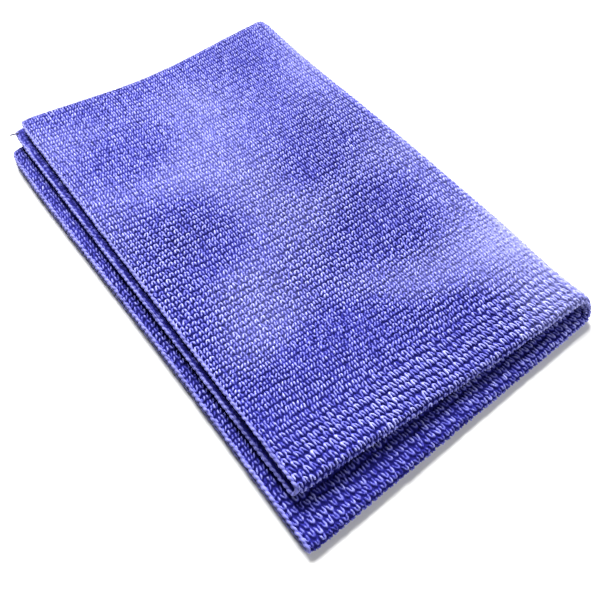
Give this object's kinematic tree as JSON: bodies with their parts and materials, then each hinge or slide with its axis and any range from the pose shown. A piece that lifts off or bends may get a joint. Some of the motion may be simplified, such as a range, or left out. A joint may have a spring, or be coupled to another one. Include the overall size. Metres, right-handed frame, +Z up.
{
  "type": "microfibre polishing cloth",
  "caption": "Thick knitted polishing cloth with overlocked edges, folded twice into a book; the upper leaf opens about the folded spine.",
  "frame": {"origin": "centre of the folded cloth's bounding box, on the surface that it lies on", "axes": "+X towards the spine of the book fold, +Y along the spine away from the near fold, towards the open ends, +Z up"},
  "size_m": [0.202, 0.317, 0.018],
  "materials": {
    "knit_pile": "matt, softly fuzzy blue-violet microfibre yarn in a coarse knit",
    "edge_thread": "matt, pale blue-violet overlock thread",
    "thread_tail": "matt dark violet thread end"
  },
  "bodies": {
    "lower_leaf": {"bottom_ply": "knit_pile", "lower_inner_ply": "knit_pile", "lower_near_fold": "knit_pile", "lower_near_corner": "knit_pile", "lower_spine_outer": "knit_pile", "lower_spine_inner": "knit_pile", "bottom_ply_side_hem": "edge_thread", "bottom_ply_end_hem": "edge_thread", "lower_inner_ply_side_hem": "edge_thread", "lower_inner_ply_end_hem": "edge_thread"},
    "upper_leaf": {"top_ply": "knit_pile", "upper_inner_ply": "knit_pile", "upper_near_fold": "knit_pile", "upper_near_corner": "knit_pile", "upper_spine_outer": "knit_pile", "upper_spine_inner": "knit_pile", "top_ply_side_hem": "edge_thread", "top_ply_end_hem": "edge_thread", "upper_inner_ply_side_hem": "edge_thread", "upper_inner_ply_end_hem": "edge_thread", "upper_thread_tail": "thread_tail"}
  },
  "joints": [
    {"name": "book_fold", "type": "hinge", "parent": "lower_leaf", "child": "upper_leaf", "pos_m": [0.10115, 0, 0.009], "axis": [0, 1, 0], "range_deg": [0, 180]}
  ]
}
